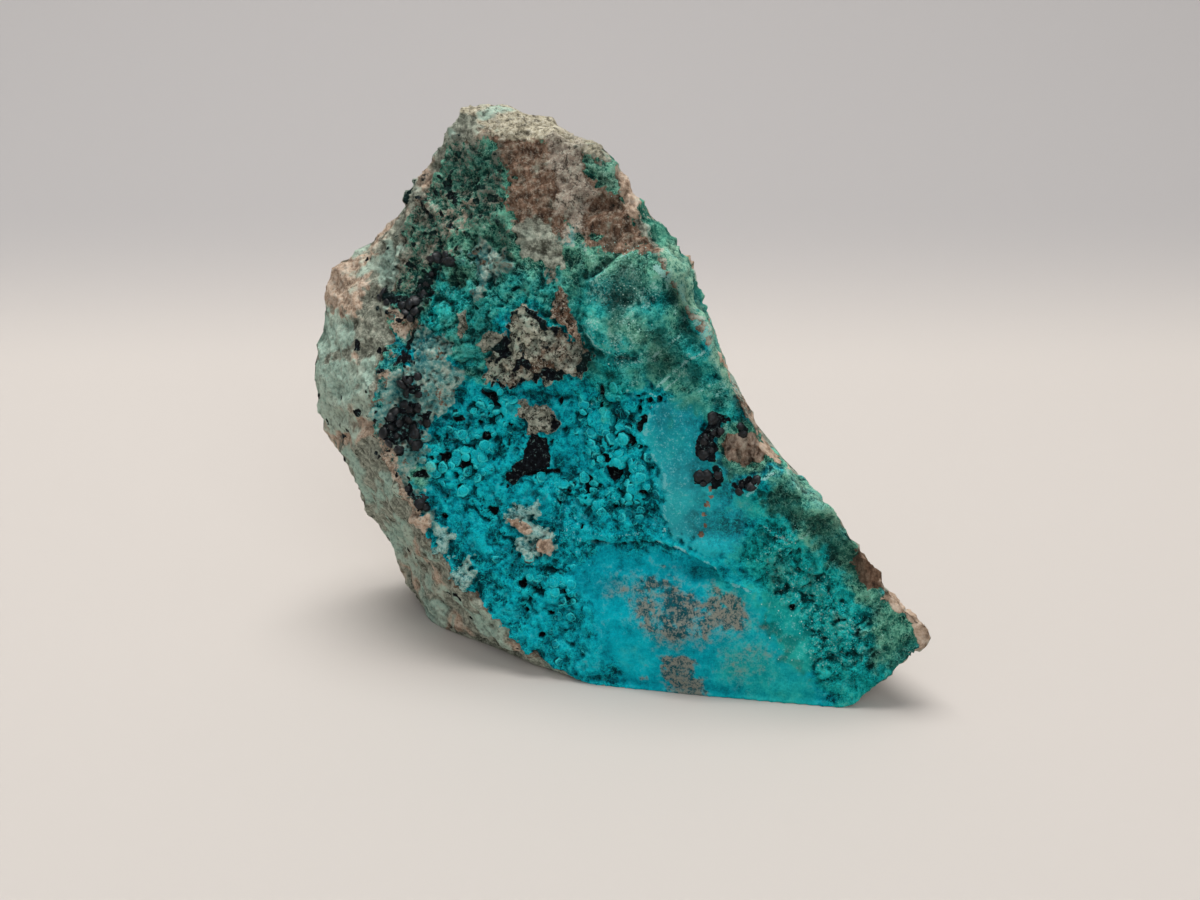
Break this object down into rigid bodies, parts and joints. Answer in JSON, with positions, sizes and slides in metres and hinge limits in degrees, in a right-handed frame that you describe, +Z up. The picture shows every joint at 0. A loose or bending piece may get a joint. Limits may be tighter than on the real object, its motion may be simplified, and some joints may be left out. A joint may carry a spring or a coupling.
{
  "type": "chrysocolla specimen",
  "caption": "Broken hand specimen of blue-green chrysocolla on brown matrix rock: a leaning wedge with a peak at the left, a low pointed end at the right and a flat base.",
  "frame": {"origin": "middle of the bounding box, on the flat base the specimen stands on", "axes": "+Z up, mineralised face towards -Y, low pointed end towards +X, peak and bulging shoulder towards -X"},
  "size_m": [0.109, 0.0604, 0.0935],
  "materials": {
    "copper_stained_rock": "rough broken rock, waxy where it is blue-green"
  },
  "bodies": {
    "root": {"chrysocolla_specimen": "copper_stained_rock"}
  },
  "joints": []
}
